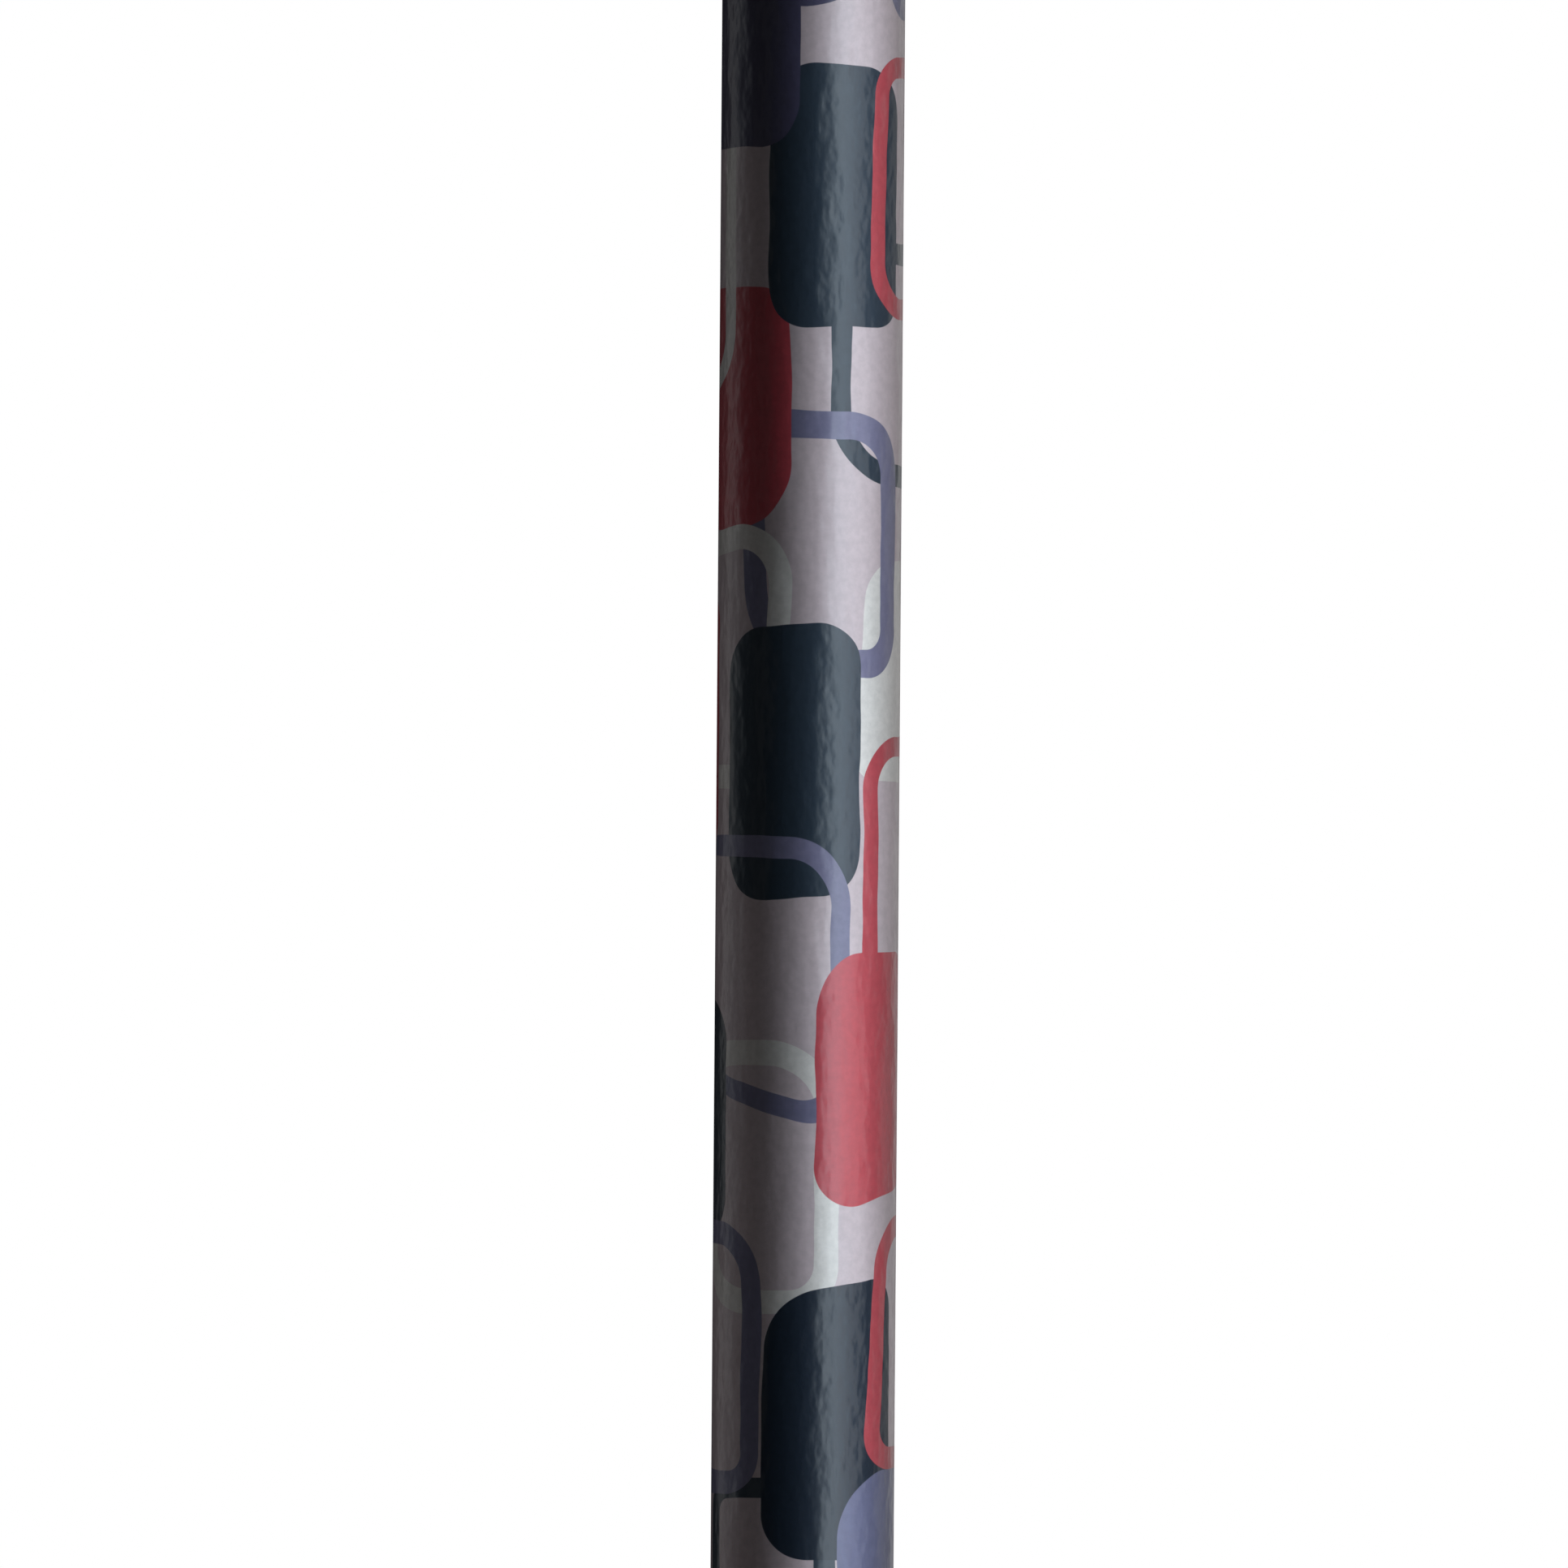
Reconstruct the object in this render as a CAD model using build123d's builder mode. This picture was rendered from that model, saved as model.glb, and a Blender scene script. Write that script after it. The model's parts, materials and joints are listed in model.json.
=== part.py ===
"""Slender kaleidoscope with a turning object cell, in millimetres.

The kaleidoscope stands on its object cell, with the eyepiece at the top. +Z runs along the barrel
towards the eye, and the origin is the centre of the end bezel's resting face.

From the bottom up: an object cell that turns by hand on a metal journal, a card tube in a printed
wrap with three mirror strips inside, and an eyepiece cap with a window and a soft ring for the eye.
"""

import os
from math import cos, radians, sin, sqrt
from random import Random

from build123d import *

os.makedirs("parts", exist_ok=True)

# ---------------------------------------------------------------- driving dimensions
barrel_d = 30.0  # outside of the printed wrap
wrap_thickness = 0.25
tube_wall = 1.5
barrel_bottom = 30.0  # height of the tube's lower end
barrel_length = 272.0
cell_d = 36.0  # outside of the turning end
mirror_width = 17.95
mirror_thickness = 1.6

# ---------------------------------------------------------------- clearances
slip = 0.05  # radial, between parts that turn or are set loosely
seating = 0.1  # axial or radial play of a dropped-in part

# ---------------------------------------------------------------- barrel sizes
tube_d = barrel_d - 2 * wrap_thickness
tube_bore = tube_d - 2 * tube_wall
barrel_top = barrel_bottom + barrel_length
flange_d = barrel_d - 0.2  # rims sit just inside the wrap, so that a ring slides over them
plug_length = 12.0  # what the journal and the eyepiece push into the tube

# ---------------------------------------------------------------- journal that the cell turns on
flange_thickness = 1.6
flange_bottom = barrel_bottom - flange_thickness
spigot_d = 25.4
spigot_bottom = 18.0
journal_bore = 23.2
lip_bore = 20.6
lip_thickness = 0.8
groove_d = 24.4
groove_bottom = 19.0
groove_width = 1.1
flange_chamfer = 0.3
ring_d = 27.6
ring_thickness = 0.9
ring_gap = 3.2
ring_end_radius = 0.4
felt_thickness = 0.7
felt_d = 29.4

# ---------------------------------------------------------------- mirrors and what holds them
window_thickness = 1.2
barrel_window_bottom = spigot_bottom + lip_thickness
mirror_bottom = barrel_window_bottom + window_thickness + seating
mirror_top = barrel_top - plug_length - 1.0
mirror_touch = 0.015  # keeps the strips' meeting edges just apart
mirror_inner = mirror_width / (2 * sqrt(3)) + mirror_touch  # centre line to a reflecting face
frame_height = 8.0
frame_bottoms = {"lower_mirror_frame": 44.0, "upper_mirror_frame": mirror_top - 11.0}
frame_play = 0.05
tape_thickness = 0.3
tape_play = 0.02
tape_height = 14.0
tape_bottoms = (92.0, 158.0, 224.0)

# ---------------------------------------------------------------- turning object cell
bezel_height = 5.0
lip_height = 1.5
bezel_opening = 27.5
bezel_foot_radius = 0.8
bezel_rim_chamfer = 0.3
bezel_opening_chamfer = 0.5
seat_d = cell_d - 3.8  # bore that takes the cell's discs and spigots
disc_d = seat_d - 2 * seating
diffuser_thickness = 1.4
band_d = cell_d - 1.0
band_top = 13.5
chamber_d = 28.4
cell_window_bottom = 16.2
collar_shoulder = 20.3
collar_top = 27.6
collar_edge = 0.3
collar_rim = 0.4  # straight height above the grip, below the sloping shoulder
clip_room_d = 29.0
grip_seat_d = 33.2
grip_bottom = 16.0
grip_top = 25.6
grip_d = cell_d + 0.4
rib_count = 40
rib_radius = 0.7
rib_offset = 0.2  # how far outside the grip the cutting circles are centred

# ---------------------------------------------------------------- eyepiece
cap_wall_r = 11.2
cap_shoulder = barrel_top + 4.0
cap_top = barrel_top + 6.6
peephole_d = 10.0
peephole_rim = 0.8
dome_radius = 3.4
dome_land = 0.6
eye_window_d = 18.0
eye_window_bottom = barrel_top + 2.6
retainer_bore = 12.0
retainer_chamfer = 0.3
retainer_thickness = 1.6
baffle_bore = 11.0
baffle_thickness = 0.6
baffle_gap = 0.2
cushion_inner_d = 15.4
cushion_outer_d = 23.6
cushion_seat = barrel_top + 6.0
cushion_height = 2.8
cushion_side = 0.8

pieces = {}


def finish(name, builder):
    """Labels a finished piece and keeps it for export."""
    builder.part.label = name
    pieces[name] = builder.part


def annulus(outer_d, inner_d):
    """Draws a flat ring in the sketch that is open."""
    Circle(outer_d / 2)
    Circle(inner_d / 2, mode=Mode.SUBTRACT)


def mirror_outline(clearance):
    """The six corners round the backs of the three mirror strips, grown by a clearance."""
    reach = mirror_inner + mirror_thickness + clearance
    half = mirror_width / 2 + clearance * 0.6
    corners = []
    for side in range(3):
        turn = radians(90 + 120 * side)
        for across in (-half, half):
            x = reach * cos(turn) + across * sin(turn)
            y = reach * sin(turn) - across * cos(turn)
            corners.append((x, y))
    return [corners[i] for i in (1, 0, 3, 2, 5, 4)]


# ================================================================ barrel
with BuildPart() as cardboard_tube:
    with BuildSketch(Plane.XY.offset(barrel_bottom)):
        annulus(tube_d, tube_bore)
    extrude(amount=barrel_length)
finish("cardboard_tube", cardboard_tube)

with BuildPart() as printed_wrap:
    with BuildSketch(Plane.XY.offset(barrel_bottom)):
        annulus(barrel_d, tube_d)
    extrude(amount=barrel_length)
finish("printed_wrap", printed_wrap)

# The journal plugs into the tube, closes its end with a flange and carries the cell on its spigot.
with BuildPart() as barrel_journal:
    with BuildSketch(Plane.XY.offset(spigot_bottom)):
        Circle(spigot_d / 2)
    extrude(amount=flange_bottom - spigot_bottom)
    with BuildSketch(Plane.XY.offset(flange_bottom)):
        Circle(flange_d / 2)
    extrude(amount=flange_thickness)
    with BuildSketch(Plane.XY.offset(barrel_bottom)):
        Circle(tube_bore / 2)
    extrude(amount=plug_length)
    with BuildSketch(Plane.XY.offset(barrel_window_bottom)):
        Circle(journal_bore / 2)
    extrude(amount=barrel_bottom + plug_length - barrel_window_bottom, mode=Mode.SUBTRACT)
    with BuildSketch(Plane.XY.offset(spigot_bottom)):
        Circle(lip_bore / 2)
    extrude(amount=lip_thickness, mode=Mode.SUBTRACT)
    with BuildSketch(Plane.XY.offset(groove_bottom)):
        annulus(flange_d, groove_d)
    extrude(amount=groove_width, mode=Mode.SUBTRACT)
    circles = barrel_journal.edges().filter_by(GeomType.CIRCLE)
    chamfer(circles.group_by(SortBy.RADIUS)[-1], flange_chamfer)
finish("barrel_journal", barrel_journal)

with BuildPart() as felt_washer:
    with BuildSketch(Plane.XY.offset(flange_bottom - felt_thickness)):
        annulus(felt_d, spigot_d + 2 * seating)
    extrude(amount=felt_thickness)
finish("felt_washer", felt_washer)

# A split spring ring in the spigot's groove keeps the cell from dropping off.
with BuildPart() as retaining_ring:
    with BuildSketch(Plane.XY.offset(groove_bottom + seating)):
        annulus(ring_d, groove_d + 2 * slip)
        with Locations((ring_d / 2, 0)):
            Rectangle(ring_d / 4, ring_gap, mode=Mode.SUBTRACT)
    extrude(amount=ring_thickness)
    ends = retaining_ring.edges().filter_by(Axis.Z).group_by(Axis.X)[-1]
    fillet(ends, ring_end_radius)
finish("retaining_ring", retaining_ring)

with BuildPart() as barrel_window:
    with BuildSketch(Plane.XY.offset(barrel_window_bottom)):
        Circle(journal_bore / 2 - slip)
    extrude(amount=window_thickness)
finish("barrel_window", barrel_window)

# Three equal strips face inwards round the centre line and meet at their inner edges.
for number, name in enumerate(("mirror_a", "mirror_b", "mirror_c")):
    with BuildPart() as mirror_strip:
        with BuildSketch(Plane.XY.offset(mirror_bottom)):
            with PolarLocations(mirror_inner + mirror_thickness / 2, 1, start_angle=90 + 120 * number):
                Rectangle(mirror_thickness, mirror_width)
        extrude(amount=mirror_top - mirror_bottom)
    finish(name, mirror_strip)

# Tape holds the three strips together at three heights.
with BuildPart() as mirror_tape_bands:
    for height in tape_bottoms:
        with BuildSketch(Plane.XY.offset(height)):
            Polygon(*mirror_outline(tape_play + tape_thickness), align=None)
            Polygon(*mirror_outline(tape_play), align=None, mode=Mode.SUBTRACT)
        extrude(amount=tape_height)
finish("mirror_tape_bands", mirror_tape_bands)

# Foam discs centre the mirrors in the tube.
for name, height in frame_bottoms.items():
    with BuildPart() as mirror_frame:
        with BuildSketch(Plane.XY.offset(height)):
            Circle(tube_bore / 2 - slip)
            Polygon(*mirror_outline(frame_play), align=None, mode=Mode.SUBTRACT)
        extrude(amount=frame_height)
    finish(name, mirror_frame)

# ================================================================ eyepiece
with BuildPart() as peephole_baffle:
    with BuildSketch(Plane.XY.offset(mirror_top + baffle_gap)):
        annulus(tube_bore - 2 * seating, baffle_bore)
    extrude(amount=baffle_thickness)
finish("peephole_baffle", peephole_baffle)

# The cap is a turned shape: a plug for the tube, a rim, a dome and a coned peephole.
with BuildPart() as eyepiece_cap:
    with BuildSketch(Plane.XZ):
        with BuildLine():
            seat_r = cushion_outer_d / 2 + seating
            window_r = eye_window_d / 2 + seating
            window_top = eye_window_bottom + window_thickness
            plug_foot = (cap_wall_r, barrel_top - plug_length)
            rim_top = (flange_d / 2, cap_shoulder)
            dome_top = (seat_r + dome_land, cap_top)
            Polyline(
                plug_foot,
                (tube_bore / 2, barrel_top - plug_length),
                (tube_bore / 2, barrel_top),
                (flange_d / 2, barrel_top),
                rim_top,
            )
            RadiusArc(rim_top, dome_top, -dome_radius)
            Polyline(
                dome_top,
                (seat_r, cap_top),
                (seat_r, cushion_seat),
                (cushion_inner_d / 2 - seating, cushion_seat),
                (peephole_d / 2, window_top + peephole_rim),
                (peephole_d / 2, window_top),
                (window_r, window_top),
                (window_r, eye_window_bottom - retainer_thickness),
                (cap_wall_r, eye_window_bottom - retainer_thickness),
                plug_foot,
            )
        make_face()
    revolve(axis=Axis.Z)
finish("eyepiece_cap", eyepiece_cap)

with BuildPart() as eye_window:
    with BuildSketch(Plane.XY.offset(eye_window_bottom)):
        Circle(eye_window_d / 2)
    extrude(amount=window_thickness)
finish("eye_window", eye_window)

with BuildPart() as window_retainer:
    with BuildSketch(Plane.XY.offset(eye_window_bottom - retainer_thickness)):
        annulus(eye_window_d + 2 * seating, retainer_bore)
    extrude(amount=retainer_thickness)
    bore_edges = window_retainer.edges().filter_by(GeomType.CIRCLE).group_by(SortBy.RADIUS)[0]
    chamfer(bore_edges, retainer_chamfer)
finish("window_retainer", window_retainer)

# A soft ring with a round top, for the eye socket.
with BuildPart() as eye_cushion:
    with BuildSketch(Plane.XZ):
        with BuildLine():
            cushion_mid = (cushion_inner_d + cushion_outer_d) / 4
            inner_foot = (cushion_inner_d / 2, cushion_seat)
            outer_foot = (cushion_outer_d / 2, cushion_seat)
            inner_side = (cushion_inner_d / 2, cushion_seat + cushion_side)
            outer_side = (cushion_outer_d / 2, cushion_seat + cushion_side)
            crown = (cushion_mid, cushion_seat + cushion_height)
            Polyline(inner_side, inner_foot, outer_foot, outer_side)
            ThreePointArc(outer_side, crown, inner_side)
        make_face()
    revolve(axis=Axis.Z)
finish("eye_cushion", eye_cushion)

# ================================================================ turning object cell
with BuildPart() as end_bezel:
    with BuildSketch():
        annulus(cell_d, bezel_opening)
    extrude(amount=lip_height)
    with BuildSketch(Plane.XY.offset(lip_height)):
        annulus(cell_d, seat_d)
    extrude(amount=bezel_height - lip_height)
    opening = end_bezel.edges().filter_by(GeomType.CIRCLE).group_by(SortBy.RADIUS)[0].sort_by(Axis.Z)
    chamfer(opening[0], bezel_opening_chamfer)
    outside = end_bezel.edges().filter_by(GeomType.CIRCLE).group_by(SortBy.RADIUS)[-1].sort_by(Axis.Z)
    fillet(outside[0], bezel_foot_radius)
    outside = end_bezel.edges().filter_by(GeomType.CIRCLE).group_by(SortBy.RADIUS)[-1].sort_by(Axis.Z)
    chamfer(outside[-1], bezel_rim_chamfer)
finish("end_bezel", end_bezel)

with BuildPart() as diffuser:
    with BuildSketch(Plane.XY.offset(lip_height)):
        Circle(disc_d / 2)
    extrude(amount=diffuser_thickness)
finish("diffuser", diffuser)

# The clear band shows the loose pieces; its two spigots press the discs home.
with BuildPart() as cell_wall:
    with BuildSketch(Plane.XY.offset(lip_height + diffuser_thickness)):
        annulus(seat_d - 2 * slip, chamber_d)
    extrude(amount=cell_window_bottom - lip_height - diffuser_thickness)
    with BuildSketch(Plane.XY.offset(bezel_height)):
        annulus(band_d, chamber_d)
    extrude(amount=band_top - bezel_height)
finish("cell_wall", cell_wall)

with BuildPart() as cell_window:
    with BuildSketch(Plane.XY.offset(cell_window_bottom)):
        Circle(disc_d / 2)
    extrude(amount=window_thickness)
finish("cell_window", cell_window)

# The collar turns on the spigot; its shoulder stands over the retaining ring.
with BuildPart() as turning_collar:
    with BuildSketch(Plane.XZ):
        with BuildLine():
            bore_r = spigot_d / 2 + slip
            window_top = cell_window_bottom + window_thickness
            Polyline(
                (bore_r, collar_shoulder),
                (clip_room_d / 2, collar_shoulder),
                (clip_room_d / 2, window_top),
                (seat_d / 2, window_top),
                (seat_d / 2, band_top),
                (cell_d / 2 - collar_edge, band_top),
                (cell_d / 2, band_top + collar_edge),
                (cell_d / 2, grip_bottom),
                (grip_seat_d / 2, grip_bottom),
                (grip_seat_d / 2, grip_top),
                (cell_d / 2, grip_top),
                (cell_d / 2, grip_top + collar_rim),
                (barrel_d / 2 + collar_edge, collar_top),
                (bore_r, collar_top),
                close=True,
            )
        make_face()
    revolve(axis=Axis.Z)
finish("turning_collar", turning_collar)

# Ribbed rubber sleeve in the collar's groove.
with BuildPart() as rubber_grip:
    with BuildSketch(Plane.XY.offset(grip_bottom)):
        annulus(grip_d, grip_seat_d)
        with PolarLocations(grip_d / 2 + rib_offset, rib_count):
            Circle(rib_radius, mode=Mode.SUBTRACT)
    extrude(amount=grip_top - grip_bottom)
finish("rubber_grip", rubber_grip)

# ================================================================ loose pieces in the cell
# They lie in rings on the diffuser, and a second, thinner layer lies on the first. The order of
# kinds round the rings is shuffled with a fixed seed, and each piece drops onto what is below it.
rings = ((0.0, 1), (6.2, 8), (11.4, 14), (5.6, 5), (11.4, 11))
kinds = {
    "glass_chips_red": 6,
    "glass_chips_blue": 6,
    "glass_chips_green": 6,
    "round_beads_amber": 6,
    "round_beads_violet": 5,
    "bugle_beads_turquoise": 6,
    "star_sequins_silver": 4,
}
half_heights = {"glass": 1.4, "round": 2.15, "bugle": 1.63, "star": 0.88}  # allowing for the tilt
most_tilt = 10
piece_reach = 4.5  # pieces nearer than this across the cell rest on each other
piece_gap = 0.05
chip_r = 1.95
chip_thickness = 1.9
chip_corners = (3, 4, 5)
chip_taper = (4, 14)
bead_r = 2.15
bead_hole_r = 0.55
bead_hole_tilt = 70
bugle_r = 1.15
bugle_hole_r = 0.45
bugle_length = 3.9
star_thickness = 0.7
star_radii = [2.2, 1.05] * 5
star_step = radians(360 / len(star_radii))
star_corners = [(r * cos(star_step * i), r * sin(star_step * i)) for i, r in enumerate(star_radii)]
ring_twist = 13  # turns each ring against the one before

shuffle = Random(12)
order = [name for name, count in kinds.items() for _ in range(count)]
shuffle.shuffle(order)
lies = {name: [] for name in kinds}
dropped = []
for ring_number, (ring_r, count) in enumerate(rings):
    for step in range(count):
        name = order[len(dropped)]
        half_height = half_heights[name.split("_")[0]]
        turn = radians(360 / count * step + ring_twist * ring_number)
        x, y = ring_r * cos(turn), ring_r * sin(turn)
        tops = [top for px, py, top in dropped if (px - x) ** 2 + (py - y) ** 2 < piece_reach**2]
        z = max(tops, default=lip_height + diffuser_thickness) + piece_gap + half_height
        dropped.append((x, y, z + half_height))
        tilt_x = shuffle.uniform(-most_tilt, most_tilt)
        tilt_y = shuffle.uniform(-most_tilt, most_tilt)
        tilt = Location((0, 0, 0), (tilt_x, tilt_y, 0))
        spin = Location((0, 0, 0), (0, 0, shuffle.uniform(0, 360)))
        lies[name].append(Plane(Location((x, y, z)) * tilt * spin))

for name in kinds:
    kind = name.split("_")[0]
    with BuildPart() as loose_pieces:
        for lie in lies[name]:
            if kind == "glass":  # a splinter of flat glass with slanted sides
                with BuildSketch(lie.offset(-chip_thickness / 2)):
                    RegularPolygon(chip_r, shuffle.choice(chip_corners))
                extrude(amount=chip_thickness, taper=shuffle.uniform(*chip_taper))
            elif kind == "round":  # a round bead with a threading hole
                with Locations(lie):
                    Sphere(bead_r)
                    Cylinder(bead_hole_r, 3 * bead_r, rotation=(bead_hole_tilt, 0, 0), mode=Mode.SUBTRACT)
            elif kind == "bugle":  # a short six-sided tube lying on its side
                across = Plane(lie.origin, x_dir=lie.z_dir, z_dir=lie.x_dir)
                with BuildSketch(across.offset(-bugle_length / 2)):
                    RegularPolygon(bugle_r, 6)
                    Circle(bugle_hole_r, mode=Mode.SUBTRACT)
                extrude(amount=bugle_length)
            else:  # a flat star with five points
                with BuildSketch(lie.offset(-star_thickness / 2)):
                    Polygon(*star_corners, align=None)
                extrude(amount=star_thickness)
    finish(name, loose_pieces)

# ================================================================ export
for name, piece in pieces.items():
    export_step(piece, f"parts/{name}.step")
    print(f"{name}: {len(piece.solids())} solids, {piece.volume:.1f} mm3")
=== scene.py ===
"""Looks for a slender kaleidoscope: a printed barrel, an eyepiece and a turning cell of loose glass pieces.

The barrel's centre line is the frame's Z axis, and the shown side of its print faces -Y. Lengths that
describe the print and small details are in millimetres and are turned into metres by MM.
"""

import json
from collections import namedtuple
from math import cos, pi, radians, sin, tan

import bmesh
import bpy
from mathutils import Matrix, Vector

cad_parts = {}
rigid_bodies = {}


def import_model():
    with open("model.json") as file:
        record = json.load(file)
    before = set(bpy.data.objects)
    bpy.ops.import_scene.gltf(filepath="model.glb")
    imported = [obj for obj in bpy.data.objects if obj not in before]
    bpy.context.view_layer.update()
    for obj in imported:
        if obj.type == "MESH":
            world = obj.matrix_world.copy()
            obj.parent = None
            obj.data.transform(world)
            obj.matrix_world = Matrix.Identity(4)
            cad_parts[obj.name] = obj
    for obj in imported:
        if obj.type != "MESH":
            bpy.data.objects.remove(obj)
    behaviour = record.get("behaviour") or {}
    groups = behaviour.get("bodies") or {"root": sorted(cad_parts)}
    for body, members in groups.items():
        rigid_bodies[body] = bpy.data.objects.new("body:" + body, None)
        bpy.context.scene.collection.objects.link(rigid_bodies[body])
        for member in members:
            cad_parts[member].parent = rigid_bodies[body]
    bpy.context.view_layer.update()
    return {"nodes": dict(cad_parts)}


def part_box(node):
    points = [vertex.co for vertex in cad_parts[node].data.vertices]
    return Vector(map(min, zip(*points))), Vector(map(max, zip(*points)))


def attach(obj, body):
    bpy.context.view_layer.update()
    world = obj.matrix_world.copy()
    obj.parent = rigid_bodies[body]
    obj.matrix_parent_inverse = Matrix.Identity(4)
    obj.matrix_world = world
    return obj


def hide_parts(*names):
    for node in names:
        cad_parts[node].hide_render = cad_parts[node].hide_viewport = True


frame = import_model()

MM = 0.001
barrel_low, barrel_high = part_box("printed_wrap")
barrel_r = barrel_high.x
barrel_middle = (barrel_low.z + barrel_high.z) / 2


# ================================================================ shader building
class Shader:
    """A node tree under construction. Each call adds one node and returns its output socket."""

    def __init__(self, tree):
        self.tree = tree

    def add(self, kind, **settings):
        node = self.tree.nodes.new(kind)
        for name, value in settings.items():
            setattr(node, name, value)
        return node

    def feed(self, socket, value):
        """Links a socket's value, or sets a plain one."""
        if isinstance(value, bpy.types.NodeSocket):
            self.tree.links.new(value, socket)
        else:
            socket.default_value = value

    def math(self, operation, *values, clamp=False):
        node = self.add("ShaderNodeMath", operation=operation, use_clamp=clamp)
        for socket, value in zip(node.inputs, values):
            self.feed(socket, value)
        return node.outputs[0]

    def vector(self, operation, *values):
        node = self.add("ShaderNodeVectorMath", operation=operation)
        for socket, value in zip(node.inputs, values):
            self.feed(socket, value)
        return node.outputs["Value" if operation in ("LENGTH", "DOT_PRODUCT") else "Vector"]

    def split(self, vector):
        node = self.add("ShaderNodeSeparateXYZ")
        self.feed(node.inputs[0], vector)
        return node.outputs

    def join(self, x, y, z=0.0):
        node = self.add("ShaderNodeCombineXYZ")
        for socket, value in zip(node.inputs, (x, y, z)):
            self.feed(socket, value)
        return node.outputs[0]

    def blend(self, share, a, b, how="MIX"):
        """Mixes two colours."""
        node = self.add("ShaderNodeMix", data_type="RGBA", blend_type=how)
        self.feed(node.inputs["Factor"], share)
        self.feed(node.inputs[6], a)
        self.feed(node.inputs[7], b)
        return node.outputs[2]

    def shaded(self, colour, shade):
        """A colour made darker or lighter by a value."""
        return self.blend(1.0, colour, self.join(shade, shade, shade), "MULTIPLY")

    def between(self, value, low, high, out_low=0.0, out_high=1.0, smooth=True):
        """Maps a value from one range to another, and stops at the ends."""
        node = self.add("ShaderNodeMapRange", clamp=True)
        node.interpolation_type = "SMOOTHSTEP" if smooth else "LINEAR"
        limits = {"From Min": low, "From Max": high, "To Min": out_low, "To Max": out_high}
        for name, number in limits.items():
            self.feed(node.inputs[name], number)
        self.feed(node.inputs["Value"], value)
        return node.outputs[0]

    def noise(self, where, scale, detail=2.0, roughness=0.5, distortion=0.0):
        node = self.add("ShaderNodeTexNoise")
        for name, number in (("Scale", scale), ("Detail", detail), ("Roughness", roughness)):
            node.inputs[name].default_value = number
        node.inputs["Distortion"].default_value = distortion
        self.feed(node.inputs["Vector"], where)
        return node.outputs["Fac"]

    def cells(self, where, scale):
        """Distance to the nearest of scattered points."""
        node = self.add("ShaderNodeTexVoronoi", feature="F1")
        node.inputs["Scale"].default_value = scale
        self.feed(node.inputs["Vector"], where)
        return node.outputs["Distance"]

    def bump(self, height, distance, strength=1.0, normal=None):
        node = self.add("ShaderNodeBump")
        node.inputs["Strength"].default_value = strength
        node.inputs["Distance"].default_value = distance
        self.feed(node.inputs["Height"], height)
        if normal is not None:
            self.feed(node.inputs["Normal"], normal)
        return node.outputs[0]


def new_material(name, **settings):
    """A material with one Principled shader. Returns it, its Shader and the Principled node."""
    material = bpy.data.materials.new(name)
    material.use_nodes = True
    tree = material.node_tree
    tree.nodes.clear()
    shader = Shader(tree)
    surface = shader.add("ShaderNodeBsdfPrincipled")
    output = shader.add("ShaderNodeOutputMaterial")
    tree.links.new(surface.outputs[0], output.inputs["Surface"])
    for socket, value in settings.items():
        surface.inputs[socket.replace("_", " ")].default_value = value
    return material, shader, surface


def object_place(shader):
    """The point in the frame's own metres."""
    return shader.add("ShaderNodeTexCoord").outputs["Object"]


# ================================================================ the print
# The sheet is laid out flat, in millimetres: across is the distance round the barrel from the middle of
# the shown side, positive to the right, and down is the distance below the print's datum.
print_datum = barrel_high.z - 7.5 * MM  # the top of the shown stretch
half_round = pi * barrel_r / MM

inks = {
    "lilac": (0.640, 0.522, 0.546),
    "offwhite": (0.785, 0.735, 0.700),
    "slate": (0.031, 0.047, 0.070),
    "deep_slate": (0.018, 0.028, 0.047),
    "indigo": (0.088, 0.080, 0.145),
    "lavender": (0.208, 0.196, 0.310),
    "periwinkle": (0.165, 0.168, 0.285),
    "red": (0.575, 0.076, 0.098),
}

Motif = namedtuple(
    "Motif", "ink left right top bottom corners line slopes leans", defaults=(0, (0, 0), (0, 0)))
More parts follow.
